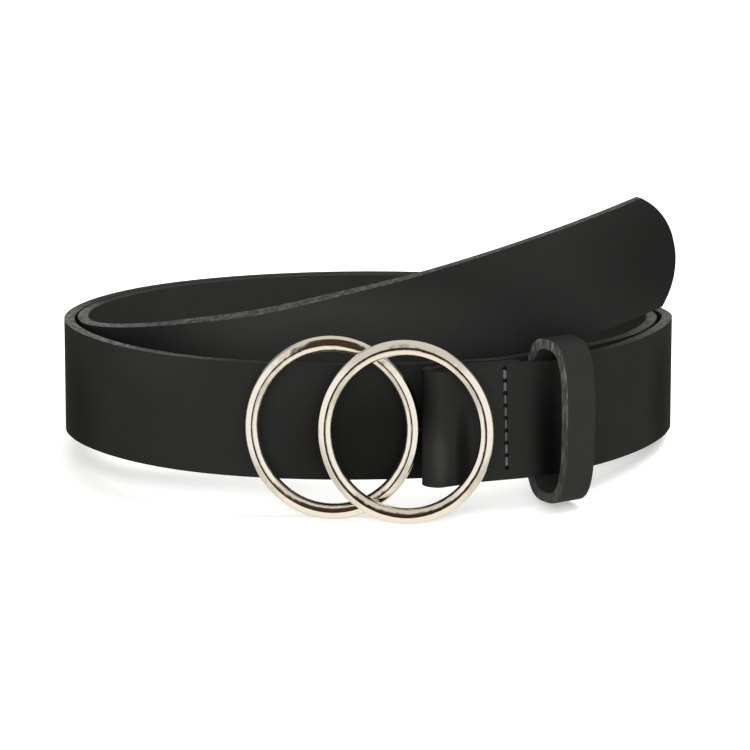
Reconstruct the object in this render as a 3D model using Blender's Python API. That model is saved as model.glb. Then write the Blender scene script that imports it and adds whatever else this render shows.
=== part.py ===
# A leather waist belt, rolled up into a coil of about two turns that stands on its edge.
# One strap is folded round the bar of a buckle of two overlapped rings, runs through a loose
# keeper loop, goes round the coil, passes behind its own fold, goes round once more inside the
# first turn and ends in a free tail that rises out of the coil.
# The belt is laid out level first, with the strap's lower edge at height 0, X to the right and
# Y away from the front. It is then tipped back until it stands on what really touches the floor.

import math

import bmesh
import bpy
from mathutils import Matrix, Vector

# Strap
STRAP_WIDTH = 0.032
STRAP_THICKNESS = 0.0029
TAIL_LENGTH = 0.220
TAIL_LIFT = 0.0107
TIP_RADIUS = 0.0210
TIP_SKEW = 0.0012
CLEARANCE = 0.0003

# Coil, seen from above
COIL_WIDTH = 0.1726
COIL_DEPTH = 0.1325

# Buckle
RING_WIDTH = 0.0479
RING_HEIGHT = 0.0509
RING_WIRE = 0.0040
RING_SPACING = 0.0203
RING_DROP = 0.0009
SOLDER_DEPTH = 0.0005
BAR_DIAMETER = 0.0026
BAR_LENGTH = 0.0260
STEM_DIAMETER = 0.0024
FOLD_STANDOFF = 0.0026

# Keeper loop
KEEPER_WIDTH = 0.0095
KEEPER_WALL = 0.0029
KEEPER_DEPTH = 0.0198
KEEPER_HEADROOM = 0.00395
KEEPER_SQUARENESS = 3.0
KEEPER_ROOM = 0.0008
KEEPER_DROP = 0.0003

# Places round the coil, as the angle of the strap's outward normal, in degrees from +X
BAR_ANGLE = -78.8
HIDDEN_END_ANGLE = -67.0
KEEPER_ANGLE = -61.6
TAIL_ANGLE = 505.0

# Densities that decide how the belt stands, in kg per cubic metre
LEATHER_DENSITY = 950.0
METAL_DENSITY = 6700.0

# Fineness of the faceted surfaces
COIL_STEP = 2.25
FOLD_FACETS = 14
TAIL_STEP = 0.004
TIP_FACETS = 9
RING_FACETS = 56
WIRE_FACETS = 12
KEEPER_FACETS = 44

# Sizes that follow from the ones above
LAYER_PITCH = STRAP_THICKNESS + CLEARANCE
KEEPER_HEIGHT = STRAP_WIDTH + 2 * (KEEPER_HEADROOM + KEEPER_WALL)
FOLD_RADIUS = BAR_DIAMETER / 2 + CLEARANCE + STRAP_THICKNESS
STEM_LENGTH = RING_WIRE / 2 + CLEARANCE + FOLD_RADIUS + CLEARANCE / 2
FOLD_BACK = (FOLD_STANDOFF + STRAP_THICKNESS) / LAYER_PITCH
FOLD_FRONT = (FOLD_STANDOFF + 2 * FOLD_RADIUS) / LAYER_PITCH
MEAN_RADIUS = (COIL_WIDTH + COIL_DEPTH) / 4
OVALNESS = (COIL_WIDTH - COIL_DEPTH) / 4 / MEAN_RADIUS

# The coil's outline from above, as waves on its mean radius
COIL_FORM = (
    # waves, cosine share, sine share
    (2, OVALNESS, 0.004),
    (3, 0.011, -0.002),
    (4, 0.003, -0.004),
    (5, 0.002, 0.002),
    (6, 0.004, 0.003),
)

# Where the strap's outer face runs, in layers outside the coil's outline
LAYERS = (
    # angle, first turn, second turn
    (BAR_ANGLE, FOLD_FRONT, 0.00),
    (-78.0, FOLD_FRONT - 0.14, 0.02),
    (-77.0, FOLD_FRONT - 0.45, 0.06),
    (-74.0, 2.46, 0.18),
    (-71.0, 2.38, 0.20),
    (HIDDEN_END_ANGLE, 2.38, 0.05),
    (-65.6, 2.34, -0.32),
    (KEEPER_ANGLE, 2.13, -0.70),
    (-57.6, 1.88, -0.86),
    (-52.0, 1.52, -0.84),
    (-44.0, 1.00, -0.80),
    (-36.0, 0.60, -0.80),
    (-25.0, 0.20, -1.05),
    (-12.0, 0.00, -1.30),
    (8.0, 0.00, -1.42),
    (60.0, 0.00, -1.00),
    (100.0, 0.00, -1.00),
    (TAIL_ANGLE - 360, 0.00, -1.15),
)

# The back ply of the fold, from the bar to its hidden end
BACK_PLY = (
    # angle, layers outside the coil's outline
    (BAR_ANGLE, FOLD_BACK),
    (-78.0, FOLD_BACK - 0.02),
    (-72.0, 1.38),
    (HIDDEN_END_ANGLE, 1.36),
)

# How the tail bends about its own width and twists about its own length
TAIL_FORM = (
    # share of the length, bend so far, twist so far
    (0.00, 0.0, 0.0),
    (0.07, 17.2, 1.9),
    (0.135, 39.0, 4.4),
    (0.20, 66.0, 9.8),
    (0.27, 94.5, 14.5),
    (0.35, 111.0, 23.3),
    (0.465, 113.5, 32.4),
    (0.60, 115.0, 25.5),
    (0.755, 132.5, 17.6),
    (1.00, 152.0, 19.0),
)


def smooth_row(table, column, at):
    """Read a column of a table at any place, with a smooth curve that doesn't overshoot."""
    places = [row[0] for row in table]
    values = [row[column] for row in table]
    at = min(max(at, places[0]), places[-1])
    rises = []
    for left in range(len(places) - 1):
        rises.append((values[left + 1] - values[left]) / (places[left + 1] - places[left]))
    slopes = [rises[0]]
    for before, after in zip(rises, rises[1:]):
        same_way = before * after > 0
        slopes.append(2 * before * after / (before + after) if same_way else 0.0)
    slopes.append(rises[-1])
    left = 0
    while left < len(places) - 2 and at > places[left + 1]:
        left += 1
    span = places[left + 1] - places[left]
    u = (at - places[left]) / span
    start = (1 + 2 * u) * (1 - u) ** 2 * values[left] + u * (1 - u) ** 2 * span * slopes[left]
    end = u * u * (3 - 2 * u) * values[left + 1] + u * u * (u - 1) * span * slopes[left + 1]
    return start + end


def coil_reach(degrees):
    """How far the coil's outline reaches in a direction, and how that changes with the angle."""
    angle = math.radians(degrees)
    reach = MEAN_RADIUS
    change = 0.0
    for waves, cosine, sine in COIL_FORM:
        reach += MEAN_RADIUS * (cosine * math.cos(waves * angle) + sine * math.sin(waves * angle))
        change += MEAN_RADIUS * waves * (sine * math.cos(waves * angle) - cosine * math.sin(waves * angle))
    return reach, change


def outward(degrees):
    angle = math.radians(degrees)
    return Vector((math.cos(angle), math.sin(angle), 0.0))


def coil_point(degrees, outside):
    """A point that lies a given distance outside the coil's outline, at mid height."""
    reach, change = coil_reach(degrees)
    along = outward(degrees + 90)
    return (reach + outside) * outward(degrees) + change * along + Vector((0, 0, STRAP_WIDTH / 2))


def ply_point(table, column, degrees, at=None):
    """A point in the middle of the strap's thickness, on a turn that a table describes."""
    layers = smooth_row(table, column, degrees if at is None else at)
    return coil_point(degrees, layers * LAYER_PITCH - STRAP_THICKNESS / 2)


def angles_between(first, last, step):
    count = max(1, math.ceil(abs(last - first) / step))
    return [first + (last - first) * index / count for index in range(count + 1)]


def level_route():
    """The strap's middle line from the hidden end of the fold to the start of the tail."""
    points = []
    for degrees in angles_between(HIDDEN_END_ANGLE, BAR_ANGLE, COIL_STEP)[:-1]:
        points.append(ply_point(BACK_PLY, 1, degrees))
    bar = coil_point(BAR_ANGLE, FOLD_STANDOFF + FOLD_RADIUS)
    bend_radius = FOLD_RADIUS - STRAP_THICKNESS / 2
    for index in range(FOLD_FACETS + 1):
        points.append(bar + bend_radius * outward(BAR_ANGLE - 180 + 180 * index / FOLD_FACETS))
    last_first = BAR_ANGLE + 360
    for degrees in angles_between(BAR_ANGLE, last_first, COIL_STEP)[1:]:
        points.append(ply_point(LAYERS, 1, degrees))
    for degrees in angles_between(last_first, TAIL_ANGLE, COIL_STEP)[1:]:
        points.append(ply_point(LAYERS, 2, degrees, degrees - 360))
    return points


def level_frames(points):
    """A frame at each point: place, run, outward face normal and width direction."""
    up = Vector((0, 0, 1))
    frames = []
    for index, point in enumerate(points):
        before = point - points[max(index - 1, 0)]
        after = points[min(index + 1, len(points) - 1)] - point
        run = (before.normalized() + after.normalized()).normalized()
        frames.append((point, run, run.cross(up), up))
    return frames


def tail_frames(start, twist_share):
    """Frames along the tail, which bends only about its width and twists about its run."""
    place, run, face, width = (vector.copy() for vector in start)
    fine_steps = 4 * math.ceil(TAIL_LENGTH / TAIL_STEP)
    step = TAIL_LENGTH / fine_steps
    frames = []
    for index in range(1, fine_steps + 1):
        share = index / fine_steps
        earlier = (index - 1) / fine_steps
        bend = smooth_row(TAIL_FORM, 1, share) - smooth_row(TAIL_FORM, 1, earlier)
        twist = smooth_row(TAIL_FORM, 2, share) - smooth_row(TAIL_FORM, 2, earlier)
        turn = Matrix.Rotation(math.radians(bend), 3, width)
        middle = Matrix.Rotation(math.radians(bend / 2), 3, width) @ run
        place = place + middle * step
        run = turn @ run
        face = turn @ face
        roll = Matrix.Rotation(math.radians(twist * twist_share), 3, run)
        face = (roll @ face).normalized()
        width = run.cross(face) * -1
        frames.append((place.copy(), run.copy(), face.copy(), width.normalized()))
    return frames


def lifted_tail(start):
    """The tail with just the twist that lifts its lower edge clear of the coil's top edge."""
    wanted = STRAP_WIDTH + TAIL_LIFT + STRAP_WIDTH / 2
    low, high = 0.0, 3.0
    for _ in range(30):
        share = (low + high) / 2
        if tail_frames(start, share)[-1][0].z < wanted:
            low = share
        else:
            high = share
    return tail_frames(start, (low + high) / 2)


def strap_sections():
    """Frames along the whole strap, each with half the strap's width there and its skew.

    The tip is cut a little askew, so each of its upper corners lies further along than the lower.
    """
    level = level_frames(level_route())
    sections = [(frame, STRAP_WIDTH / 2, 0.0) for frame in level]
    fine = lifted_tail(level[-1])
    spacing = TAIL_LENGTH / len(fine)
    half_angle = math.asin(min(1.0, STRAP_WIDTH / 2 / TIP_RADIUS))
    tip_depth = TIP_RADIUS * (1 - math.cos(half_angle))
    straight_end = TAIL_LENGTH - tip_depth
    for index in range(3, len(fine), 4):
        if (index + 1) * spacing < straight_end - spacing - TIP_SKEW:
            sections.append((fine[index], STRAP_WIDTH / 2, 0.0))
    for index in range(TIP_FACETS):
        angle = half_angle * (1 - index / TIP_FACETS)
        travelled = TAIL_LENGTH - TIP_RADIUS * (1 - math.cos(angle))
        half_width = TIP_RADIUS * math.sin(angle)
        skew = TIP_SKEW * half_width / (STRAP_WIDTH / 2)
        sections.append((frame_at(fine, travelled / spacing - 1), half_width, skew))
    return sections


def frame_at(frames, position):
    """The frame at a fractional position in a list of close frames."""
    index = min(max(int(position), 0), len(frames) - 2)
    share = position - index
    mixed = [first.lerp(second, share) for first, second in zip(frames[index], frames[index + 1])]
    return mixed[0], mixed[1].normalized(), mixed[2].normalized(), mixed[3].normalized()


def new_object(name, work, material):
    mesh = bpy.data.meshes.new(name)
    work.to_mesh(mesh)
    work.free()
    thing = bpy.data.objects.new(name, mesh)
    bpy.context.scene.collection.objects.link(thing)
    mesh.materials.append(material)
    return thing


def new_material(name, colour, roughness, metallic):
    material = bpy.data.materials.new(name)
    material.use_nodes = True
    shader = material.node_tree.nodes["Principled BSDF"]
    shader.inputs["Base Color"].default_value = (*colour, 1.0)
    shader.inputs["Roughness"].default_value = roughness
    shader.inputs["Metallic"].default_value = metallic
    return material


def swept_band(corner_rings, closed):
    """A solid through rings of four corners, closed on itself or capped at both ends."""
    work = bmesh.new()
    rings = [[work.verts.new(corner) for corner in ring] for ring in corner_rings]
    pairs = list(zip(rings, rings[1:]))
    if closed:
        pairs.append((rings[-1], rings[0]))
    for first, second in pairs:
        for corner in range(4):
            following = (corner + 1) % 4
            work.faces.new((first[corner], first[following], second[following], second[corner]))
    if not closed:
        work.faces.new(reversed(rings[0]))
        work.faces.new(rings[-1])
    bmesh.ops.recalc_face_normals(work, faces=work.faces)
    return work


def shade_round(thing, sharp_degrees):
    thing.data.shade_smooth()
    thing.data.set_sharp_from_angle(angle=math.radians(sharp_degrees))


def add_boolean(thing, other, operation):
    cut = thing.modifiers.new(other.name, "BOOLEAN")
    cut.operation = operation
    cut.solver = "EXACT"
    cut.object = other
    other.hide_render = True
    other.display_type = "WIRE"


def make_strap(material):
    rings = []
    for (place, run, face, width), half_width, skew in strap_sections():
        thick = face * STRAP_THICKNESS / 2
        wide = width * half_width + run * skew
        rings.append((place + thick - wide, place + thick + wide, place - thick + wide, place - thick - wide))
    strap = new_object("strap", swept_band(rings, closed=False), material)
    shade_round(strap, 40)
    return strap


def ring_mesh(work, centre_x, centre_y):
    """An oval ring of round wire that stands in the XZ plane."""
    half_width = (RING_WIDTH - RING_WIRE) / 2
    half_height = (RING_HEIGHT - RING_WIRE) / 2
    rows = []
    for index in range(RING_FACETS):
        angle = 2 * math.pi * index / RING_FACETS
        centre = Vector((centre_x + half_width * math.cos(angle), centre_y, half_height * math.sin(angle)))
        out = Vector((half_height * math.cos(angle), 0, half_width * math.sin(angle))).normalized()
        row = []
        for side in range(WIRE_FACETS):
            turn = 2 * math.pi * side / WIRE_FACETS
            offset = out * math.cos(turn) + Vector((0, math.sin(turn), 0))
            row.append(work.verts.new(centre + offset * RING_WIRE / 2))
        rows.append(row)
    for index, row in enumerate(rows):
        following = rows[(index + 1) % RING_FACETS]
        for side in range(WIRE_FACETS):
            over = (side + 1) % WIRE_FACETS
            work.faces.new((row[side], row[over], following[over], following[side]))
    bmesh.ops.recalc_face_normals(work, faces=work.faces)


def ring_object(name, centre_x, centre_y, material):
    work = bmesh.new()
    ring_mesh(work, centre_x, centre_y)
    return new_object(name, work, material)


def rod_object(name, middle, direction, length, diameter, material):
    work = bmesh.new()
    bmesh.ops.create_cone(
        work, cap_ends=True, segments=WIRE_FACETS, radius1=diameter / 2, radius2=diameter / 2, depth=length
    )
    turn = Vector((0, 0, 1)).rotation_difference(direction).to_matrix().to_4x4()
    bmesh.ops.transform(work, matrix=Matrix.Translation(middle) @ turn, verts=work.verts)
    return new_object(name, work, material)


def bar_place():
    place = coil_point(BAR_ANGLE, FOLD_STANDOFF + FOLD_RADIUS)
    place.z -= RING_DROP
    return place


def left_ring_centre_x():
    """Across the buckle, from the bar's axis to the middle of the left ring."""
    return -STEM_LENGTH - (RING_WIDTH - RING_WIRE) / 2


def distance_outside(point):
    """How far a point seen from above lies outside the coil's outline."""
    return max(point.dot(outward(degrees)) - coil_reach(degrees)[0] for degrees in range(180, 360, 3))


def buckle_yaw():
    """The turn on its bar at which the left ring just lies on the strap behind it."""
    half_width = (RING_WIDTH - RING_WIRE) / 2
    half_height = (RING_HEIGHT - RING_WIRE) / 2
    crossing = math.asin(min(1.0, STRAP_WIDTH / 2 / half_height))
    reach_in = half_width * math.cos(crossing)
    wanted = RING_WIRE / 2 + CLEARANCE
    bar = bar_place()
    low, high = -25.0, 25.0
    for _ in range(30):
        yaw = (low + high) / 2
        across = outward(yaw)
        nearest = math.inf
        for share in (0.0, 0.25, 0.5, 0.75, 1.0):
            along = left_ring_centre_x() - reach_in - share * (half_width - reach_in)
            point = bar + across * along
            nearest = min(nearest, distance_outside(Vector((point.x, point.y, 0))))
        if nearest < wanted:
            low = yaw
        else:
            high = yaw
    return high


def make_buckle(material):
    left_x = left_ring_centre_x()
    forward = RING_WIRE - SOLDER_DEPTH
    buckle = ring_object("double_ring_buckle", left_x, 0.0, material)
    right = ring_object("right_ring_shape", left_x + RING_SPACING, -forward, material)
    bar = rod_object("bar_shape", Vector((0, 0, 0)), Vector((0, 0, 1)), BAR_LENGTH, BAR_DIAMETER, material)
    stem = rod_object(
        "stem_shape", Vector((-STEM_LENGTH / 2, 0, 0)), Vector((1, 0, 0)), STEM_LENGTH, STEM_DIAMETER, material
    )
    for other in (right, bar, stem):
        add_boolean(buckle, other, "UNION")
        other.parent = buckle
    shade_round(buckle, 50)
    buckle.location = bar_place()
    buckle.rotation_euler = (0, 0, math.radians(buckle_yaw()))
    return buckle


def make_stem_hole(material):
    """The hole in the fold that the buckle's stem comes out through."""
    depth = FOLD_RADIUS + STRAP_THICKNESS
    diameter = STEM_DIAMETER + 2 * CLEARANCE
    middle = Vector((-depth / 2, 0, 0))
    hole = rod_object("stem_hole_shape", middle, Vector((1, 0, 0)), depth, diameter, material)
    hole.location = bar_place()
    hole.rotation_euler = (0, 0, math.radians(buckle_yaw()))
    return hole


def keeper_outline(half_depth, half_height):
    """A rounded oblong as seen along the strap, with its corners from one exponent."""
    points = []
    for index in range(KEEPER_FACETS):
        angle = 2 * math.pi * index / KEEPER_FACETS
        power = 2 / KEEPER_SQUARENESS
        across = half_depth * math.copysign(abs(math.cos(angle)) ** power, math.cos(angle))
        height = half_height * math.copysign(abs(math.sin(angle)) ** power, math.sin(angle))
        points.append((across, height))
    return points


def make_keeper(material):
    outer = keeper_outline(KEEPER_DEPTH / 2, KEEPER_HEIGHT / 2)
    inner = keeper_outline(KEEPER_DEPTH / 2 - KEEPER_WALL, KEEPER_HEIGHT / 2 - KEEPER_WALL)
    half = KEEPER_WIDTH / 2
    rings = []
    for (outer_y, outer_z), (inner_y, inner_z) in zip(outer, inner):
        rings.append(
            (
                Vector((-half, outer_y, outer_z)),
                Vector((half, outer_y, outer_z)),
                Vector((half, inner_y, inner_z)),
                Vector((-half, inner_y, inner_z)),
            )
        )
    keeper = new_object("keeper_loop", swept_band(rings, closed=True), material)
    shade_round(keeper, 40)
    before = ply_point(LAYERS, 1, KEEPER_ANGLE - 1)
    after = ply_point(LAYERS, 1, KEEPER_ANGLE + 1)
    run = (after - before).normalized()
    face = run.cross(Vector((0, 0, 1)))
    corner = (STRAP_WIDTH + 2 * KEEPER_DROP) / (KEEPER_HEIGHT - 2 * KEEPER_WALL)
    roundness = (1 - corner**KEEPER_SQUARENESS) ** (1 / KEEPER_SQUARENESS)
    corner_reach = (KEEPER_DEPTH / 2 - KEEPER_WALL) * roundness
    outside = corner_reach - KEEPER_ROOM - STRAP_THICKNESS / 2
    keeper.location = ply_point(LAYERS, 1, KEEPER_ANGLE) + face * outside - Vector((0, 0, KEEPER_DROP))
    keeper.rotation_euler = (0, 0, math.atan2(run.y, run.x))
    return keeper


def solid_and_centre(thing, graph):
    """The volume of a piece, the middle of its mass and its corners, in world space."""
    shape = bmesh.new()
    shape.from_object(thing, graph)
    shape.transform(thing.matrix_world)
    bmesh.ops.triangulate(shape, faces=shape.faces)
    volume = 0.0
    moment = Vector((0, 0, 0))
    for face in shape.faces:
        first, second, third = (vertex.co for vertex in face.verts)
        part = first.dot(second.cross(third)) / 6
        volume += part
        moment += part * (first + second + third) / 4
    corners = [vertex.co.copy() for vertex in shape.verts]
    shape.free()
    return volume, moment / volume, corners


def stand_on_floor(stance, pieces):
    """Turn the belt onto the three points under its centre of mass, and put them at height 0."""
    bpy.context.view_layer.update()
    graph = bpy.context.evaluated_depsgraph_get()
    mass = 0.0
    moment = Vector((0, 0, 0))
    corners = []
    for piece, density in pieces:
        volume, centre, points = solid_and_centre(piece, graph)
        mass += volume * density
        moment += volume * density * centre
        corners += points
    balance = moment / mass
    hull = bmesh.new()
    for corner in corners:
        hull.verts.new(corner)
    bmesh.ops.convex_hull(hull, input=hull.verts, use_existing_faces=False)
    hull.normal_update()
    below = balance - Vector((0, 0, 1))
    down = Vector((0, 0, -1))
    for face in hull.faces:
        if face.normal.z > -0.5:
            continue
        drop = (face.verts[0].co - balance).dot(face.normal)
        foot = balance + face.normal * drop
        if bmesh.geometry.intersect_face_point(face, foot) and foot.z > below.z:
            down = face.normal.copy()
    hull.free()
    turn = down.rotation_difference(Vector((0, 0, -1))).to_matrix()
    turned = [turn @ corner for corner in corners]
    lows = [min(point[axis] for point in turned) for axis in range(3)]
    highs = [max(point[axis] for point in turned) for axis in range(3)]
    shift = Vector((-(lows[0] + highs[0]) / 2, -(lows[1] + highs[1]) / 2, -lows[2]))
    stance.matrix_world = Matrix.Translation(shift) @ turn.to_4x4()


def clear_scene():
    for thing in list(bpy.data.objects):
        bpy.data.objects.remove(thing, do_unlink=True)


clear_scene()
black_leather = new_material("black_leather", (0.018, 0.018, 0.019), 0.55, 0.0)
keeper_leather = new_material("keeper_leather", (0.020, 0.020, 0.021), 0.55, 0.0)
pale_gold = new_material("pale_gold", (0.78, 0.66, 0.52), 0.15, 1.0)
strap_piece = make_strap(black_leather)
buckle_piece = make_buckle(pale_gold)
keeper_piece = make_keeper(keeper_leather)
stem_hole = make_stem_hole(black_leather)
add_boolean(strap_piece, stem_hole, "DIFFERENCE")
stand = bpy.data.objects.new("stance", None)
bpy.context.scene.collection.objects.link(stand)
for piece in (strap_piece, buckle_piece, keeper_piece, stem_hole):
    piece.parent = stand
stand_on_floor(
    stand,
    (
        (strap_piece, LEATHER_DENSITY),
        (buckle_piece, METAL_DENSITY),
        (keeper_piece, LEATHER_DENSITY),
    ),
)
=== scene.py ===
import math

import bpy
from mathutils import Matrix, Vector


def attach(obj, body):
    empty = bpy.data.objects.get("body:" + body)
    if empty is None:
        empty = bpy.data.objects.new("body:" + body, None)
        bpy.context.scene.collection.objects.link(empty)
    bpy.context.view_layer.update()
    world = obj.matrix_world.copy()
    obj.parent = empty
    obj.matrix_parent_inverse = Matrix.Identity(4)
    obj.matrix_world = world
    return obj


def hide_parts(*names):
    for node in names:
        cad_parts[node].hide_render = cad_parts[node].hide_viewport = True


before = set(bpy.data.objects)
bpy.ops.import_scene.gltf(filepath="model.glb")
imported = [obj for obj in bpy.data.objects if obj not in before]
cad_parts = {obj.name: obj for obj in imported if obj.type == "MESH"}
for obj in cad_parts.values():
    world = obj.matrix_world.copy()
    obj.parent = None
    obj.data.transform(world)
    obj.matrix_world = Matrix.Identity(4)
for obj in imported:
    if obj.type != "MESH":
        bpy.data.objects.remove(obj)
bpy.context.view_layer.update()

# Strap. One ply of black finished cowhide, 2.9 mm thick, slit to 32 mm and cut to a round tip. Its
# edges are raw cuts, rubbed down but not painted, so that their fibres show lighter than its smooth
# matte faces. A row of needle holes is punched in the front of its fold.
STRAP_CORNER = 0.0003
SMOOTHING_LEVELS = 2
# points nearer than this become one point
MERGE_WITHIN = 0.00001
# a face is turned one way where the cosine of its turn from it is over this
SAME_WAY = 0.9
LEATHER_FACE = "#1b1b1b"
LEATHER_FACE_WORN = "#202020"
LEATHER_BACK = "#242424"
LEATHER_BACK_WORN = "#2b2b2b"
# pores and fibres are drawn coarser than real ones, so that they show
LEATHER_PORE = 0.0005
FIBRE_CLUMP = 0.0006
FIBRE_TUFT = 0.0016
LEATHER_CLOUD = 0.012
LEATHER_PAINTED_LIGHT_SPOTS = (
    # middle, reach along X, Y and Z, colour
    # painted shadow on the strap where it runs into the keeper
    ((0.0510, -0.0570, 0.018), (0.0085, 0.0085, 0.040), "#050505"),
    # painted highlight on the fold's crown, painted shade in the crease beside it and at its top
    # corner
    ((0.0194, -0.0660, 0.018), (0.0030, 0.0100, 0.011), "#2c2c2c"),
    ((0.0256, -0.0660, 0.016), (0.0030, 0.0100, 0.020), "#0f0f0f"),
    ((0.0135, -0.0660, 0.033), (0.0075, 0.0100, 0.016), "#080808"),
    # painted light on the lower part of the tail
    ((-0.0140, -0.0350, 0.041), (0.0640, 0.0220, 0.026), "#303030"),
    # darker on the tip, and painted shade where the coil turns back at each end
    ((0.0900, -0.0230, 0.062), (0.0420, 0.0300, 0.030), "#151515"),
    ((0.0870, -0.0100, 0.016), (0.0110, 0.0450, 0.030), "#0a0a0a"),
    ((-0.0870, -0.0100, 0.016), (0.0180, 0.0450, 0.030), "#121212"),
    # painted shadow of the rings on the strap behind them
    ((0.0020, -0.0600, 0.018), (0.0340, 0.0080, 0.030), "#111111"),
)
CUT_FIBRE_DARK = "#1f1f1f"
CUT_FIBRE_LIGHT = "#747473"
# noise levels between which fibres turn from dark to light, and how light the tufts leave them
CLUMP_LEVELS = (0.33, 0.70)
TUFT_LEVELS = (0.40, 0.56)
TUFT_SHARES = (0.50, 1.15)
# how much painted light the cut gets, as a share of its lightest, which it has at the coil's two
# ends
CUT_LIGHT_IN_FRONT = 0.05
CUT_LIGHT_ON_TAIL = 0.55
CUT_LIGHT_AT_REAR = 0.08
# from where to where the cut's painted light changes: lit out to the coil's two ends and in on
# the tail, in painted shade to the rear and on the right part, but for what is raised there
COIL_MIDDLE_X = 0.010
ENDS_AWAY = (0.055, 0.085)
TAIL_Y = (-0.056, -0.046)
REAR_Y = (0.008, 0.032)
RIGHT_PART_X = (0.030, 0.040)
RAISED_Z = (0.042, 0.048)
# two triangles make one four-sided face up to this turn between them and this skew, in degrees
FLAT_TURN = 30
FLAT_SKEW = 80
# turns between two faces in degrees: held against smoothing, another side of the strap, a corner
CREASE_TURN = 36
SIDE_TURN = 40
CORNER_TURN = 50
# how the belt lies: turned about X, Y and Z in degrees, then shifted
BELT_LEAN = (-4.208, 1.121, -0.041)
BELT_SHIFT = (-0.00130, 0.00395, 0.00517)
STITCH_COUNT = 8
STITCH_PITCH = 0.00347
STITCH_ROW_X = 0.0379
STITCH_DRIFT = 0.0001
STITCH_TOP = 0.0311
HOLE_WIDTH = 0.0015
HOLE_HEIGHT = 0.0013
HOLE_DEPTH = 0.0012
HOLE_SIDES = 16
# in front of the whole belt, where the line of sight to each stitch starts
BEFORE_BELT_Y = -0.1

stance = Matrix.Translation(BELT_SHIFT)
for turn, axis in zip(reversed(BELT_LEAN), "ZYX"):
    stance = stance @ Matrix.Rotation(math.radians(turn), 4, axis)


def linear(code):
    """An sRGB hex colour as linear values with full alpha."""
    values = []
    for place in (1, 3, 5):
        value = int(code[place:place + 2], 16) / 255
        values.append(value / 12.92 if value <= 0.04045 else ((value + 0.055) / 1.055) ** 2.4)
    return (*values, 1.0)


def add_node(tree, kind, inputs=None, **settings):
    """Add a node, set its properties, and set or link its inputs."""
    node = tree.nodes.new(kind)
    for name, value in settings.items():
        setattr(node, name, value)
    for socket, value in (inputs or {}).items():
        if isinstance(value, bpy.types.NodeSocket):
            tree.links.new(value, node.inputs[socket])
        else:
            node.inputs[socket].default_value = value
    return node


def new_material(name):
    """An empty material with its node tree and its shader."""
    material = bpy.data.materials.new(name)
    material.use_nodes = True
    return material, material.node_tree, material.node_tree.nodes["Principled BSDF"]


def pick(thing):
    """Leave one object selected and active."""
    bpy.ops.object.select_all(action="DESELECT")
    thing.select_set(True)
    bpy.context.view_layer.objects.active = thing


def finish_with(thing, kind, **settings):
    """Add a modifier with its settings and apply it."""
    pick(thing)
    modifier = thing.modifiers.new(kind.lower(), kind)
    for name, value in settings.items():
        setattr(modifier, name, value)
    bpy.ops.object.modifier_apply(modifier=modifier.name)


def joined(things, name):
    """Several objects made one."""
    pick(things[0])
    for thing in things[1:]:
        thing.select_set(True)
    bpy.ops.object.join()
    things[0].name = name
    return things[0]


def merged_copy(node, name):
    """A copy of a CAD piece with its loose triangles merged into four-sided faces."""
    thing = bpy.data.objects.new(name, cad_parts[node].data.copy())
    bpy.context.scene.collection.objects.link(thing)
    pick(thing)
    bpy.ops.mesh.customdata_custom_splitnormals_clear()
    bpy.ops.object.mode_set(mode="EDIT")
    bpy.ops.mesh.select_all(action="SELECT")
    bpy.ops.mesh.remove_doubles(threshold=MERGE_WITHIN)
    bpy.ops.mesh.tris_convert_to_quads(
        face_threshold=math.radians(FLAT_TURN), shape_threshold=math.radians(FLAT_SKEW)
    )
    bpy.ops.mesh.mark_sharp(clear=True)
    bpy.ops.object.mode_set(mode="OBJECT")
    thing.data.materials.clear()
    return thing


def round_off(thing, crease_turn, corner):
    """Smooth a piece between its creased corners, and round those corners a little."""
    pick(thing)
    bpy.ops.object.mode_set(mode="EDIT")
    bpy.ops.mesh.select_mode(type="EDGE")
    bpy.ops.mesh.select_all(action="DESELECT")
    bpy.ops.mesh.edges_select_sharp(sharpness=math.radians(crease_turn))
    bpy.ops.transform.edge_crease(value=1.0)
    bpy.ops.mesh.select_mode(type="FACE")
    bpy.ops.object.mode_set(mode="OBJECT")
    finish_with(thing, "SUBSURF", levels=SMOOTHING_LEVELS, render_levels=SMOOTHING_LEVELS)
    finish_with(
        thing,
        "BEVEL",
        width=corner,
        segments=2,
        limit_method="ANGLE",
        angle_limit=math.radians(CORNER_TURN),
    )


def shade(thing, corner_turn):
    """Shade a piece smooth between its corners, with its large faces flat."""
    pick(thing)
    bpy.ops.object.shade_smooth_by_angle(angle=math.radians(corner_turn))
    finish_with(thing, "WEIGHTED_NORMAL", keep_sharp=True)


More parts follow.
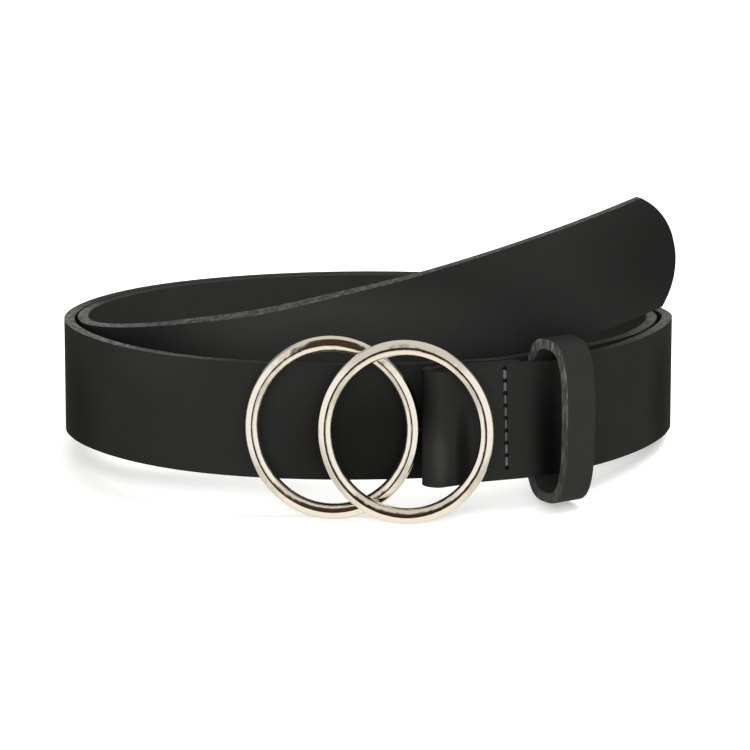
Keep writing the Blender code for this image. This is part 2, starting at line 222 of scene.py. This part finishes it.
def finished_leather(name, face, worn, painted_light_spots=()):
    """Finished cowhide: a closed matte face with fine pores, a little lighter where it is rubbed.

    Each spot is a soft patch of another colour, mostly painted light or painted shade: its middle,
    its reach along X, Y and Z, and the colour.
    """
    material, tree, shader = new_material(name)
    place = add_node(tree, "ShaderNodeTexCoord").outputs["Object"]
    cloud = add_node(
        tree,
        "ShaderNodeTexNoise",
        {"Vector": place, "Scale": 1 / LEATHER_CLOUD, "Detail": 4.0, "Roughness": 0.6},
    )
    shown = add_node(
        tree,
        "ShaderNodeMix",
        {"Factor": cloud.outputs["Fac"], "A": linear(face), "B": linear(worn)},
        data_type="RGBA",
    ).outputs["Result"]
    for middle, reach, tint in painted_light_spots:
        local = add_node(
            tree,
            "ShaderNodeMapping",
            {"Vector": place, "Location": middle, "Scale": reach},
            vector_type="TEXTURE",
        )
        away = add_node(
            tree, "ShaderNodeVectorMath", {0: local.outputs["Vector"]}, operation="LENGTH"
        )
        near = add_node(
            tree,
            "ShaderNodeMapRange",
            {"Value": away.outputs["Value"], "From Min": 1.0, "From Max": 0.25},
            interpolation_type="SMOOTHSTEP",
        )
        shown = add_node(
            tree,
            "ShaderNodeMix",
            {"Factor": near.outputs["Result"], "A": shown, "B": linear(tint)},
            data_type="RGBA",
        ).outputs["Result"]
    pores = add_node(
        tree,
        "ShaderNodeTexVoronoi",
        {"Vector": place, "Scale": 1 / LEATHER_PORE},
        feature="SMOOTH_F1",
    )
    grain = add_node(
        tree,
        "ShaderNodeBump",
        {"Height": pores.outputs["Distance"], "Strength": 0.12, "Distance": 0.0002},
    )
    sheen = add_node(
        tree,
        "ShaderNodeMapRange",
        {"Value": cloud.outputs["Fac"], "To Min": 0.60, "To Max": 0.70},
    )
    tree.links.new(shown, shader.inputs["Base Color"])
    tree.links.new(sheen.outputs["Result"], shader.inputs["Roughness"])
    tree.links.new(grain.outputs["Normal"], shader.inputs["Normal"])
    shader.inputs["Specular IOR Level"].default_value = 0.09
    return material


def cut_leather(name, light, cut_lightness, grain=(1, 1, 1)):
    """The raw cut through the hide: dry, rough, loose fibres in fine clumps and torn tufts.

    The function bare makes the socket that says how light the cut is, from 0 to 1. A share under 1
    in grain draws the fibres out along that axis.
    """
    material, tree, shader = new_material(name)
    place = add_node(tree, "ShaderNodeTexCoord").outputs["Object"]
    drawn = add_node(
        tree, "ShaderNodeMapping", {"Vector": place, "Scale": grain}
    ).outputs["Vector"]
    clumps = add_node(
        tree,
        "ShaderNodeTexNoise",
        {"Vector": drawn, "Scale": 1 / FIBRE_CLUMP, "Detail": 5.0, "Roughness": 0.7},
    )
    spread = add_node(
        tree,
        "ShaderNodeMapRange",
        {
            "Value": clumps.outputs["Fac"],
            "From Min": CLUMP_LEVELS[0],
            "From Max": CLUMP_LEVELS[1],
        },
    )
    tufts = add_node(
        tree, "ShaderNodeTexNoise", {"Vector": drawn, "Scale": 1 / FIBRE_TUFT, "Detail": 1.0}
    )
    torn = add_node(
        tree,
        "ShaderNodeMapRange",
        {
            "Value": tufts.outputs["Fac"],
            "From Min": TUFT_LEVELS[0],
            "From Max": TUFT_LEVELS[1],
            "To Min": TUFT_SHARES[0],
            "To Max": TUFT_SHARES[1],
        },
    )
    standing = add_node(
        tree,
        "ShaderNodeMath",
        {0: spread.outputs["Result"], 1: torn.outputs["Result"]},
        operation="MULTIPLY",
    )
    lightness = add_node(
        tree,
        "ShaderNodeMath",
        {0: standing.outputs["Value"], 1: cut_lightness(tree, place)},
        operation="MULTIPLY",
    )
    colour = add_node(
        tree,
        "ShaderNodeMix",
        {"Factor": lightness.outputs["Value"], "A": linear(CUT_FIBRE_DARK), "B": linear(light)},
        data_type="RGBA",
    )
    fluff = add_node(
        tree,
        "ShaderNodeBump",
        {"Height": clumps.outputs["Fac"], "Strength": 0.6, "Distance": 0.0003},
    )
    tree.links.new(colour.outputs["Result"], shader.inputs["Base Color"])
    tree.links.new(fluff.outputs["Normal"], shader.inputs["Normal"])
    shader.inputs["Roughness"].default_value = 0.85
    shader.inputs["Specular IOR Level"].default_value = 0.15
    return material


def painted_light_on_cut(tree, place):
    """The cut's painted light: light at the coil's ends, greyer on the tail, painted shade
    elsewhere.
    """
    parts = add_node(tree, "ShaderNodeSeparateXYZ", {"Vector": place}).outputs
    off_middle = add_node(
        tree, "ShaderNodeMath", {0: parts["X"], 1: COIL_MIDDLE_X}, operation="SUBTRACT"
    )
    aside = add_node(tree, "ShaderNodeMath", {0: off_middle.outputs["Value"]}, operation="ABSOLUTE")
    bend = add_node(
        tree,
        "ShaderNodeMapRange",
        {
            "Value": aside.outputs["Value"],
            "From Min": ENDS_AWAY[0],
            "From Max": ENDS_AWAY[1],
            "To Min": CUT_LIGHT_IN_FRONT,
        },
        interpolation_type="SMOOTHSTEP",
    )
    inside = add_node(
        tree,
        "ShaderNodeMapRange",
        {
            "Value": parts["Y"],
            "From Min": TAIL_Y[0],
            "From Max": TAIL_Y[1],
            "To Max": CUT_LIGHT_ON_TAIL,
        },
        interpolation_type="SMOOTHSTEP",
    )
    rear = add_node(
        tree,
        "ShaderNodeMapRange",
        {
            "Value": parts["Y"],
            "From Min": REAR_Y[0],
            "From Max": REAR_Y[1],
            "To Min": 1.0,
            "To Max": CUT_LIGHT_AT_REAR,
        },
        interpolation_type="SMOOTHSTEP",
    )
    not_right = add_node(
        tree,
        "ShaderNodeMapRange",
        {
            "Value": parts["X"],
            "From Min": RIGHT_PART_X[0],
            "From Max": RIGHT_PART_X[1],
            "To Min": 1.0,
            "To Max": 0.0,
        },
    )
    raised = add_node(
        tree,
        "ShaderNodeMapRange",
        {"Value": parts["Z"], "From Min": RAISED_Z[0], "From Max": RAISED_Z[1]},
    )
    lit_tail_part = add_node(
        tree,
        "ShaderNodeMath",
        {0: not_right.outputs["Result"], 1: raised.outputs["Result"]},
        operation="MAXIMUM",
    )
    on_tail = add_node(
        tree,
        "ShaderNodeMath",
        {0: inside.outputs["Result"], 1: lit_tail_part.outputs["Value"]},
        operation="MULTIPLY",
    )
    lighter = add_node(
        tree,
        "ShaderNodeMath",
        {0: bend.outputs["Result"], 1: on_tail.outputs["Value"]},
        operation="MAXIMUM",
    )
    return add_node(
        tree,
        "ShaderNodeMath",
        {0: lighter.outputs["Value"], 1: rear.outputs["Result"]},
        operation="MULTIPLY",
    ).outputs["Value"]


def stitch_place(step):
    """A frame on the fold's front face, a number of stitches down: X along, Y into it and Z up."""
    start = stance @ Vector(
        (STITCH_ROW_X + step * STITCH_DRIFT, BEFORE_BELT_Y, STITCH_TOP - step * STITCH_PITCH)
    )
    inwards = stance.to_3x3() @ Vector((0, 1, 0))
    _, place, normal, _ = strap.ray_cast(start, inwards)
    into = -normal.normalized()
    run = into.cross(stance.to_3x3() @ Vector((0, 0, 1))).normalized()
    up = run.cross(into)
    return Matrix.Translation(place) @ Matrix((run, into, up)).transposed().to_4x4()


# Cowhide dyed through and sealed with a dull black finish: a soft, nearly black face that only just
# shows its pores, with soft spots of painted shade and painted highlight laid into its colour.
grain_side = finished_leather(
    "black_finished_cowhide", LEATHER_FACE, LEATHER_FACE_WORN, LEATHER_PAINTED_LIGHT_SPOTS
)
# The hide's raw cut: a dry, grainy grey line along the top of the coil, in painted light and shade.
cut_edge = cut_leather("raw_cut_cowhide", CUT_FIBRE_LIGHT, painted_light_on_cut)
# The flesh side, pasted down and blackened: a slightly paler dull black inside the coil.
flesh_side = finished_leather("black_pasted_flesh_side", LEATHER_BACK, LEATHER_BACK_WORN)

strap = merged_copy("strap", "leather_strap")
for leather in (grain_side, cut_edge, flesh_side):
    strap.data.materials.append(leather)
# the grain side spreads from the face furthest left, the flesh side from the one right behind it
grain_seed = min(strap.data.polygons, key=lambda face: face.center.x)
flesh_seed = min(
    (face for face in strap.data.polygons if face.normal.dot(grain_seed.normal) < -SAME_WAY),
    key=lambda face: (face.center - grain_seed.center).length,
)
seeds = ((grain_seed.index, 0), (flesh_seed.index, 2))
pick(strap)
for face in strap.data.polygons:
    face.material_index = 1
for seed, slot in seeds:
    bpy.ops.object.mode_set(mode="EDIT")
    bpy.ops.mesh.select_mode(type="FACE")
    bpy.ops.mesh.select_all(action="DESELECT")
    bpy.ops.object.mode_set(mode="OBJECT")
    strap.data.polygons[seed].select = True
    bpy.ops.object.mode_set(mode="EDIT")
    bpy.ops.mesh.faces_select_linked_flat(sharpness=math.radians(SIDE_TURN))
    bpy.ops.object.mode_set(mode="OBJECT")
    for face in strap.data.polygons:
        if face.select:
            face.material_index = slot
round_off(strap, CREASE_TURN, STRAP_CORNER)

hole_places = [stitch_place(step) for step in range(STITCH_COUNT + 1)]
thread_places = [stitch_place(step + 0.5) for step in range(STITCH_COUNT)]
punches = []
for place in hole_places:
    bpy.ops.object.select_all(action="DESELECT")
    bpy.ops.mesh.primitive_cylinder_add(
        vertices=HOLE_SIDES, radius=0.5, depth=2 * HOLE_DEPTH, rotation=(math.pi / 2, 0, 0)
    )
    punch = bpy.context.object
    bpy.ops.object.transform_apply(location=False, rotation=True, scale=False)
    punch.scale = (HOLE_WIDTH, 1, HOLE_HEIGHT)
    bpy.ops.object.transform_apply(location=False, rotation=False, scale=True)
    punch.matrix_world = place
    bpy.ops.object.transform_apply(location=True, rotation=True, scale=True)
    punches.append(punch)
punch = joined(punches, "needle_punch")
finish_with(strap, "BOOLEAN", operation="DIFFERENCE", solver="EXACT", object=punch)
bpy.data.objects.remove(punch)
shade(strap, CORNER_TURN)
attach(strap, "root")
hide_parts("strap")

# Stitches. One upright row of waxed thread holds the fold behind the buckle. Each stitch runs on
# the surface from one needle hole to the next and dives into both. Some are pulled flatter and
# wider than others.
THREAD = 0.00065
THREAD_SIDES = 12
# how wide each stitch lies, as a share of the thread
THREAD_SPREAD = (1.6, 1.3, 0.9, 0.9, 0.8, 0.8, 1.2, 1.3)
# each step of the dive, into the leather and onwards
THREAD_DIVE = ((0.00012, 0.0001), (0.0005, 0.0001))
THREAD_TAPER = 0.86
THREAD_TWIST = 0.0006
THREAD_SHEEN_GREY = "#4a4a4a"

stitches = []
for place, spread in zip(thread_places, THREAD_SPREAD):
    bpy.ops.object.select_all(action="DESELECT")
    bpy.ops.mesh.primitive_cylinder_add(
        vertices=THREAD_SIDES, radius=THREAD / 2, depth=STITCH_PITCH - HOLE_HEIGHT
    )
    stitch = bpy.context.object
    bpy.ops.object.mode_set(mode="EDIT")
    bpy.ops.transform.resize(value=(spread, 1, 1))
    bpy.ops.mesh.select_mode(type="FACE")
    for end in (1, -1):
        bpy.ops.mesh.select_all(action="DESELECT")
        bpy.ops.object.mode_set(mode="OBJECT")
        for face in stitch.data.polygons:
            face.select = face.normal.z * end > SAME_WAY
        bpy.ops.object.mode_set(mode="EDIT")
        for inwards, onwards in THREAD_DIVE:
            bpy.ops.mesh.extrude_region_move(
                TRANSFORM_OT_translate={"value": (0, inwards, onwards * end)}
            )
            bpy.ops.transform.resize(value=(THREAD_TAPER, THREAD_TAPER, THREAD_TAPER))
    bpy.ops.object.mode_set(mode="OBJECT")
    finish_with(stitch, "SUBSURF", levels=SMOOTHING_LEVELS, render_levels=SMOOTHING_LEVELS)
    stitch.matrix_world = place
    bpy.ops.object.transform_apply(location=True, rotation=True, scale=True)
    stitches.append(stitch)
thread = joined(stitches, "fold_stitches")
bpy.ops.object.shade_smooth()

# Waxed black polyester thread of twisted plies, grey as painted sheen: small glints in a slanting
# row.
waxed, waxed_tree, waxed_shader = new_material("waxed_black_thread")
thread_place = add_node(waxed_tree, "ShaderNodeTexCoord").outputs["Object"]
plies = add_node(
    waxed_tree,
    "ShaderNodeTexWave",
    {"Vector": thread_place, "Scale": 2 * math.pi / (20 * THREAD_TWIST)},
    bands_direction="DIAGONAL",
)
ply_bump = add_node(
    waxed_tree,
    "ShaderNodeBump",
    {"Height": plies.outputs["Fac"], "Strength": 0.6, "Distance": 0.0002},
)
waxed_tree.links.new(ply_bump.outputs["Normal"], waxed_shader.inputs["Normal"])
waxed_shader.inputs["Base Color"].default_value = linear(THREAD_SHEEN_GREY)
waxed_shader.inputs["Roughness"].default_value = 0.45
thread.data.materials.append(waxed)
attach(thread, "root")

# Buckle. Two rings of 4 mm zinc alloy wire, ground a little flatter on two ways in front, with the
# crest between them nearer the inside, then soldered where they cross, with the right ring in front.
# The left ring carries a short stem and a bar, which the strap's fold hides.
RING_WIDTH = 0.0479
RING_HEIGHT = 0.0509
RING_WIRE = 0.0040
RING_STEPS = 168
WIRE_SIDES = 64
# the way each flat faces in degrees outwards from the front, its distance from the wire's middle
LEFT_RING_FLATS = ((27, 0.00181), (-28, 0.00192))
RIGHT_RING_FLATS = ((32, 0.00178), (-33, 0.00187))
RING_SPACING = 0.0203
RING_STEP = 0.0035
LEFT_RING_X = -0.0289
STEM_LENGTH = 0.00695
STEM_DIAMETER = 0.0018
STEM_CORNER = 0.0002
BAR_LENGTH = 0.0260
BAR_DIAMETER = 0.0026
BAR_CORNER = 0.0003
ROD_SIDES = 32
BUCKLE_PLACE = (0.02001, -0.07051, 0.0151)
BUCKLE_YAW = -5.15
POLISH_WAVE = 0.005
PALE_GOLD = "#f4ecdd"
SHADE_BLACK = "#080808"
RING_CORNER_TURN = 70


def ground_ring(flats, place):
    """A wire ring round the Y axis, ground flat on some ways, moved to its place."""
    major = (RING_WIDTH - RING_WIRE) / 2
    bpy.ops.object.select_all(action="DESELECT")
    bpy.ops.mesh.primitive_circle_add(
        vertices=WIRE_SIDES, radius=RING_WIRE / 2, fill_type="NGON", location=(major, 0, 0)
    )
    ring = bpy.context.object
    bpy.ops.object.transform_apply(location=True, rotation=True, scale=True)
    bpy.ops.object.mode_set(mode="EDIT")
    for turn, reach in flats:
        way = Vector((math.sin(math.radians(turn)), -math.cos(math.radians(turn)), 0))
        bpy.ops.mesh.select_all(action="SELECT")
        bpy.ops.mesh.bisect(
            plane_co=Vector((major, 0, 0)) + way * reach, plane_no=way, clear_outer=True
        )
    bpy.ops.mesh.select_all(action="SELECT")
    bpy.ops.mesh.delete(type="ONLY_FACE")
    bpy.ops.mesh.select_all(action="SELECT")
    bpy.ops.mesh.spin(steps=RING_STEPS, angle=2 * math.pi, center=(0, 0, 0), axis=(0, 1, 0))
    bpy.ops.mesh.select_all(action="SELECT")
    bpy.ops.mesh.remove_doubles(threshold=MERGE_WITHIN)
    bpy.ops.mesh.normals_make_consistent(inside=False)
    bpy.ops.transform.resize(value=(1, 1, RING_HEIGHT / RING_WIDTH), center_override=(0, 0, 0))
    bpy.ops.transform.translate(value=place)
    bpy.ops.object.mode_set(mode="OBJECT")
    return ring


# Pale gold plate on zinc alloy, polished by hand: a warm mirror with a very slight haze, whose
# reflections waver a little along the ring.
plate, plate_tree, plate_shader = new_material("polished_pale_gold_plate")
plate_place = add_node(plate_tree, "ShaderNodeTexCoord").outputs["Object"]
waver = add_node(
    plate_tree,
    "ShaderNodeTexNoise",
    {"Vector": plate_place, "Scale": 1 / POLISH_WAVE, "Detail": 2.0},
)
waver_bump = add_node(
    plate_tree,
    "ShaderNodeBump",
    {"Height": waver.outputs["Fac"], "Strength": 0.45, "Distance": 0.0006},
)
plate_tree.links.new(waver_bump.outputs["Normal"], plate_shader.inputs["Normal"])
plate_shader.inputs["Base Color"].default_value = linear(PALE_GOLD)
plate_shader.inputs["Metallic"].default_value = 1.0
plate_shader.inputs["Roughness"].default_value = 0.09
# Black steel whose colour is painted shade: a bar and a stem as dark as the shaded gap by the fold.
shade_black_steel, _, shade_black_steel_shader = new_material("steel_black_as_shade")
shade_black_steel_shader.inputs["Base Color"].default_value = linear(SHADE_BLACK)
shade_black_steel_shader.inputs["Roughness"].default_value = 0.8
shade_black_steel_shader.inputs["Specular IOR Level"].default_value = 0.1

left_ring = ground_ring(LEFT_RING_FLATS, (LEFT_RING_X, 0, 0))
right_ring = ground_ring(RIGHT_RING_FLATS, (LEFT_RING_X + RING_SPACING, -RING_STEP, 0))
for ring in (left_ring, right_ring):
    ring.data.materials.append(plate)
rods = []
for diameter, length, corner, middle, turn in (
    (BAR_DIAMETER, BAR_LENGTH, BAR_CORNER, 0, 0),
    (STEM_DIAMETER, STEM_LENGTH, STEM_CORNER, -STEM_LENGTH / 2, math.pi / 2),
):
    bpy.ops.object.select_all(action="DESELECT")
    bpy.ops.mesh.primitive_cylinder_add(
        vertices=ROD_SIDES,
        radius=diameter / 2,
        depth=length,
        location=(middle, 0, 0),
        rotation=(0, turn, 0),
    )
    rod = bpy.context.object
    bpy.ops.object.transform_apply(location=True, rotation=True, scale=True)
    finish_with(rod, "BEVEL", width=corner, segments=2, angle_limit=math.radians(CORNER_TURN))
    rod.data.materials.append(shade_black_steel)
    rods.append(rod)
buckle = joined((left_ring, right_ring, *rods), "double_ring_and_bar")
buckle.matrix_world = (
    stance @ Matrix.Translation(BUCKLE_PLACE) @ Matrix.Rotation(math.radians(BUCKLE_YAW), 4, "Z")
)
pick(buckle)
bpy.ops.object.transform_apply(location=True, rotation=True, scale=True)
shade(buckle, RING_CORNER_TURN)
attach(buckle, "root")
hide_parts("double_ring_buckle")

# Keeper. A strip of the same cowhide, 9.5 mm wide, bent into a rounded loop that slides on the
# strap. Its two long edges are raw cuts too, with their fibres drawn out round the loop.
KEEPER_CORNER = 0.0003
KEEPER_FACE = "#202020"
KEEPER_FACE_WORN = "#262626"
KEEPER_FIBRE_LIGHT = "#90908f"
KEEPER_GRAIN = (1, 1, 0.2)
# the cut edge grows lighter from one height to the other, from one share to the other
KEEPER_EDGE_Z = (0.005, 0.045)
KEEPER_EDGE_LIGHTNESS = (0.18, 0.50)
# the strap's run through the keeper in degrees from X, which the keeper's cut edges face, and the
# cosine of the most that they turn from it
KEEPER_RUN = 35
EDGE_FACING = 0.7


def lighter_at_top(tree, place):
    """The keeper's cut is lightest at the top."""
    height = add_node(tree, "ShaderNodeSeparateXYZ", {"Vector": place}).outputs["Z"]
    return add_node(
        tree,
        "ShaderNodeMapRange",
        {
            "Value": height,
            "From Min": KEEPER_EDGE_Z[0],
            "From Max": KEEPER_EDGE_Z[1],
            "To Min": KEEPER_EDGE_LIGHTNESS[0],
            "To Max": KEEPER_EDGE_LIGHTNESS[1],
        },
    ).outputs["Result"]


keeper = merged_copy("keeper_loop", "keeper_strip")
# The same finished cowhide, less worn: a shade paler than the strap behind it.
keeper.data.materials.append(
    finished_leather("keeper_finished_cowhide", KEEPER_FACE, KEEPER_FACE_WORN)
)
# The keeper's raw cut: fine upright streaks on its left edge, palest at the top bend.
keeper.data.materials.append(
    cut_leather("keeper_raw_cut", KEEPER_FIBRE_LIGHT, lighter_at_top, grain=KEEPER_GRAIN)
)
run = math.radians(KEEPER_RUN)
along = Vector((math.cos(run), math.sin(run), 0))
for face in keeper.data.polygons:
    face.material_index = 1 if abs(face.normal.dot(along)) > EDGE_FACING else 0
round_off(keeper, CORNER_TURN, KEEPER_CORNER)
shade(keeper, CORNER_TURN)
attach(keeper, "root")
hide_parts("keeper_loop")

# Floor. A wide plain table of white acrylic, lit a little from below, so that shadows on it are
# faint.
FLOOR_SIZE = 12
FLOOR_WHITE = "#f6f7f5"
STUDIO_WHITE = "#fdfffd"
FLOOR_GLOW = 0.30

bpy.ops.object.select_all(action="DESELECT")
bpy.ops.mesh.primitive_plane_add(size=FLOOR_SIZE, location=(0, 0, 0))
floor = bpy.context.object
floor.name = "pale_floor"
# Matt white acrylic with light under it: an even white without gloss.
table, _, table_shader = new_material("lit_white_acrylic")
table_shader.inputs["Base Color"].default_value = linear(FLOOR_WHITE)
table_shader.inputs["Roughness"].default_value = 0.6
table_shader.inputs["Emission Color"].default_value = linear(STUDIO_WHITE)
table_shader.inputs["Emission Strength"].default_value = FLOOR_GLOW
floor.data.materials.append(table)
floor.visible_glossy = False

# Studio light. Three soft boxes stand above, in front and behind. The pale surround is white left,
# right and below, dim further round and brown round the camera, which draws the light and dark
# lines along the polished rings. Only the camera sees the surround as plain white.
SURROUND = "#d9d7d4"
PATCHES = (
    # azimuth from the front, elevation and half width in degrees, softness in degrees, colour
    (-125, 5, 36, 10, "#8a8886"),
    (112, 5, 36, 10, "#6c6a68"),
    (-62, 2, 27, 6, "#ffffff"),
    (48, 2, 30, 6, "#ffffff"),
    (-10, -65, 35, 8, "#fffaf4"),
    (-10, 28, 24, 4, "#45372a"),
    (-10, -3, 17, 3, "#352a20"),
)
SOFT_BOXES = (
    # name, power in watts, size, place, turns about X, Y and Z in degrees
    ("top_box", 10, 0.9, (0.50, 0.10, 1.10), (0, 24, 0)),
    ("front_fill", 16, 1.0, (0, -1.15, 0.35), (74, 0, 0)),
    ("rear_fill", 12, 1.0, (0, 1.20, 0.35), (-74, 0, 0)),
)

world = bpy.data.worlds.new("pale_studio")
bpy.context.scene.world = world
world.use_nodes = True
studio = world.node_tree
way = add_node(studio, "ShaderNodeTexCoord").outputs["Generated"]
seen = None
for azimuth, elevation, spread, softness, colour in PATCHES:
    level = math.cos(math.radians(elevation))
    aim = (
        level * math.sin(math.radians(azimuth)),
        -level * math.cos(math.radians(azimuth)),
        math.sin(math.radians(elevation)),
    )
    facing = add_node(studio, "ShaderNodeVectorMath", {0: way, 1: aim}, operation="DOT_PRODUCT")
    inside = add_node(
        studio,
        "ShaderNodeMapRange",
        {
            "Value": facing.outputs["Value"],
            "From Min": math.cos(math.radians(spread + softness)),
            "From Max": math.cos(math.radians(spread - softness)),
        },
    )
    seen = add_node(
        studio,
        "ShaderNodeMix",
        {"Factor": inside.outputs["Result"], "A": seen or linear(SURROUND), "B": linear(colour)},
        data_type="RGBA",
    ).outputs["Result"]
to_camera = add_node(studio, "ShaderNodeLightPath").outputs["Is Camera Ray"]
shown = add_node(
    studio,
    "ShaderNodeMix",
    {"Factor": to_camera, "A": seen, "B": linear(STUDIO_WHITE)},
    data_type="RGBA",
)
studio.links.new(shown.outputs["Result"], studio.nodes["Background"].inputs["Color"])

for name, power, size, place, turns in SOFT_BOXES:
    light = bpy.data.lights.new(name, "AREA")
    light.size = size
    light.energy = power
    box = bpy.data.objects.new(name, light)
    bpy.context.scene.collection.objects.link(box)
    box.location = place
    box.rotation_euler = [math.radians(turn) for turn in turns]
    box.visible_glossy = False

# Camera. A long lens, a little above the belt and in front of its buckle, which keeps the coil's
# front and rear at nearly the same scale.
VIEW_DISTANCE = 1.226
VIEW_TILT = 12.5
VIEW_HEIGHT = 0.016
BELT_IN_VIEW = (0.00117, -0.00861, 0)
SENSOR_WIDTH = 36
FRAME_PIXELS = 750
FOCAL_PIXELS = 4307
# how far the view's middle lies off the picture's middle
PIXELS_ASIDE = 6
PIXELS_UP = 2

tilt = math.radians(VIEW_TILT)
eye = Vector((0, -VIEW_DISTANCE * math.cos(tilt), VIEW_HEIGHT + VIEW_DISTANCE * math.sin(tilt)))
pitch = tilt - math.atan(PIXELS_UP / FOCAL_PIXELS)
lens = bpy.data.cameras.new("long_lens")
lens.sensor_width = SENSOR_WIDTH
lens.lens = SENSOR_WIDTH * FOCAL_PIXELS / FRAME_PIXELS
lens.shift_x = PIXELS_ASIDE / FRAME_PIXELS
lens.clip_start = 0.01
viewpoint = bpy.data.objects.new("viewpoint", lens)
bpy.context.scene.collection.objects.link(viewpoint)
viewpoint.matrix_world = (
    stance
    @ Matrix.Translation(BELT_IN_VIEW)
    @ Matrix.Translation(eye)
    @ Matrix.Rotation(math.pi / 2 - pitch, 4, "X")
)
bpy.context.scene.camera = viewpoint
bpy.context.scene.view_settings.view_transform = "Standard"
